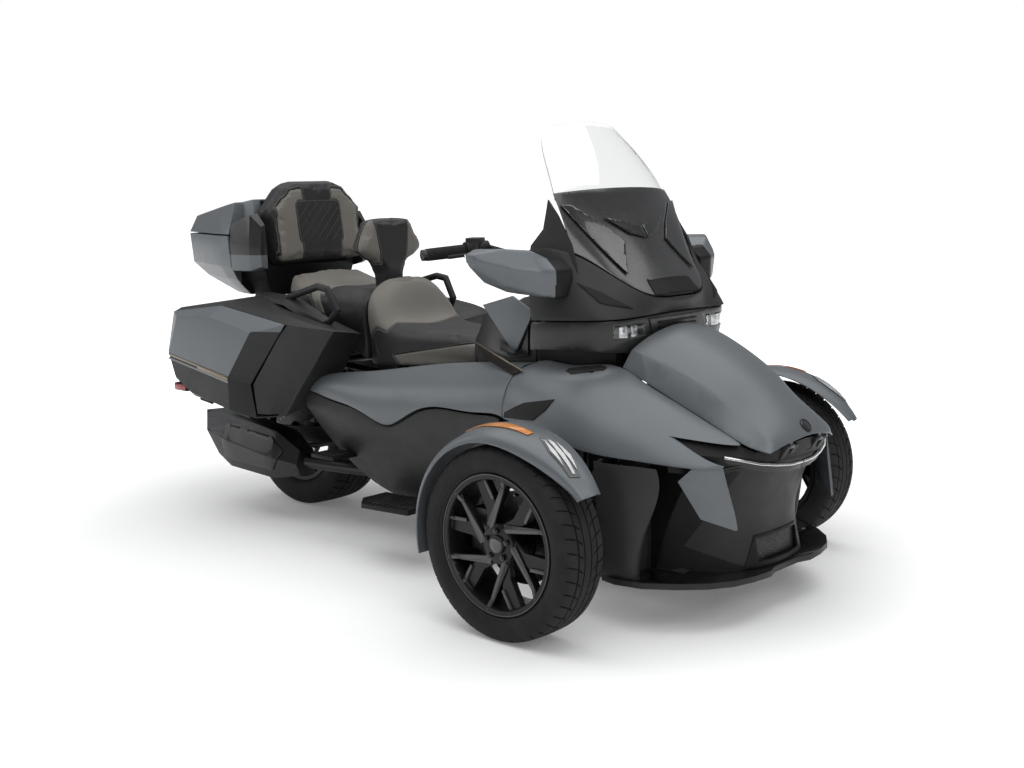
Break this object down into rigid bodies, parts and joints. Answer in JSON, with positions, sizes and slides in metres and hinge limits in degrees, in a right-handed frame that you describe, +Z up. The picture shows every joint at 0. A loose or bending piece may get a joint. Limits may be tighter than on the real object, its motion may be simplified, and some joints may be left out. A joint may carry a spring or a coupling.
{
  "type": "motor trike",
  "caption": "Touring motor trike with steered front wheels, one driven rear wheel, lidded front trunk, side cases, top case, screen and two-up seat.",
  "frame": {"origin": "on the ground, in the middle of the overall length and width", "axes": "+X forward, +Y to the rider's left, +Z up"},
  "size_m": [2.833, 1.5696, 1.464],
  "materials": {
    "body_paint": "satin metallic blue-grey",
    "charcoal_plastic": "fine textured matte",
    "black_plastic": "matte",
    "gloss_black": "gloss",
    "frame_paint": "black powder coat",
    "cast_alloy": "cast",
    "engine": "cast, black",
    "steel": "brushed",
    "black_steel": "black coated",
    "damper_steel": "painted",
    "wheel_black": "gloss black",
    "tyre": "rubber",
    "seat_leather": "grained",
    "lamp_glass": "clear",
    "screen_glass": "clear",
    "red_lens": "gloss"
  },
  "bodies": {
    "chassis": {"accent_panels": "body_paint", "console": "charcoal_plastic", "dash": "black_plastic", "engine_block": "engine", "footboards": "black_plastic", "frame": "frame_paint", "front_arms": "frame_paint", "front_dampers": "damper_steel", "front_fairing": "charcoal_plastic", "front_trunk": "black_plastic", "grab_handles": "charcoal_plastic", "grille": "black_plastic", "headlamp_lenses": "lamp_glass", "headlamps": "gloss_black", "lower_panels": "charcoal_plastic", "mirrors": "body_paint", "muffler": "black_steel", "nose_bumper": "charcoal_plastic", "passenger_backrest": "seat_leather", "rear_fender": "black_plastic", "screen_panel": "gloss_black", "shoulder_panels": "body_paint", "side_cases": "charcoal_plastic", "swing_arm": "frame_paint", "tail_lamps": "red_lens", "top_case": "body_paint", "windscreen": "screen_glass"},
    "handlebar_body": {"handlebar": "black_plastic"},
    "tie_rod_body": {"tie_rods": "steel"},
    "knuckle_left_body": {"knuckle_left": "cast_alloy", "fender_left": "body_paint"},
    "knuckle_right_body": {"knuckle_right": "cast_alloy", "fender_right": "body_paint"},
    "wheel_left_body": {"wheel_left": "wheel_black", "tyre_left": "tyre"},
    "wheel_right_body": {"wheel_right": "wheel_black", "tyre_right": "tyre"},
    "rear_wheel_body": {"rear_wheel": "wheel_black", "rear_tyre": "tyre"},
    "hood_body": {"hood": "body_paint"},
    "top_lid_body": {"top_case_lid": "body_paint"},
    "side_lid_left_body": {"side_case_lid_left": "body_paint"},
    "side_lid_right_body": {"side_case_lid_right": "body_paint"},
    "seat_body": {"seat": "seat_leather", "rider_backrest": "seat_leather"}
  },
  "joints": [
    {"name": "steering", "type": "hinge", "parent": "chassis", "child": "handlebar_body", "pos_m": [0.43, 0, 1.01], "axis": [-0.4229, 0, 0.9062], "range_deg": [-27, 27]},
    {"name": "steer_left_wheel", "type": "hinge", "parent": "chassis", "child": "knuckle_left_body", "pos_m": [0.872, 0.6, 0.281], "axis": [0, 0, 1], "range_deg": [-21, 21]},
    {"name": "steer_right_wheel", "type": "hinge", "parent": "chassis", "child": "knuckle_right_body", "pos_m": [0.872, -0.6, 0.281], "axis": [0, 0, 1], "range_deg": [-21, 21]},
    {"name": "rack_slide", "type": "slide", "parent": "chassis", "child": "tie_rod_body", "axis": [0, 1, 0], "range_m": [-0.04, 0.04]},
    {"name": "left_wheel_spin", "type": "hinge", "parent": "knuckle_left_body", "child": "wheel_left_body", "pos_m": [0.872, 0.695, 0.281], "axis": [0, 1, 0], "continuous": true},
    {"name": "right_wheel_spin", "type": "hinge", "parent": "knuckle_right_body", "child": "wheel_right_body", "pos_m": [0.872, -0.695, 0.281], "axis": [0, 1, 0], "continuous": true},
    {"name": "rear_wheel_spin", "type": "hinge", "parent": "chassis", "child": "rear_wheel_body", "pos_m": [-0.842, 0, 0.303], "axis": [0, 1, 0], "continuous": true},
    {"name": "hood_hinge", "type": "hinge", "parent": "chassis", "child": "hood_body", "pos_m": [1.4, 0, 0.52], "axis": [0, 1, 0], "range_deg": [0, 55]},
    {"name": "top_lid_hinge", "type": "hinge", "parent": "chassis", "child": "top_lid_body", "pos_m": [-0.893, 0, 1.212], "axis": [0, 1, 0], "range_deg": [0, 60]},
    {"name": "side_lid_left_hinge", "type": "hinge", "parent": "chassis", "child": "side_lid_left_body", "pos_m": [-0.791, 0.47, 0.453], "axis": [-0.993, 0, 0.1177], "range_deg": [0, 50]},
    {"name": "side_lid_right_hinge", "type": "hinge", "parent": "chassis", "child": "side_lid_right_body", "pos_m": [-0.791, -0.47, 0.453], "axis": [0.993, 0, -0.1177], "range_deg": [0, 50]},
    {"name": "seat_hinge", "type": "hinge", "parent": "chassis", "child": "seat_body", "pos_m": [0.208, 0, 0.75], "axis": [0, 1, 0], "range_deg": [0, 35]}
  ],
  "couplings": [
    {"joint": "steer_left_wheel", "follows": "steering", "ratio": 0.75},
    {"joint": "steer_right_wheel", "follows": "steering", "ratio": 0.75},
    {"joint": "rack_slide", "follows": "steering", "m_per_rad": -0.0823}
  ]
}
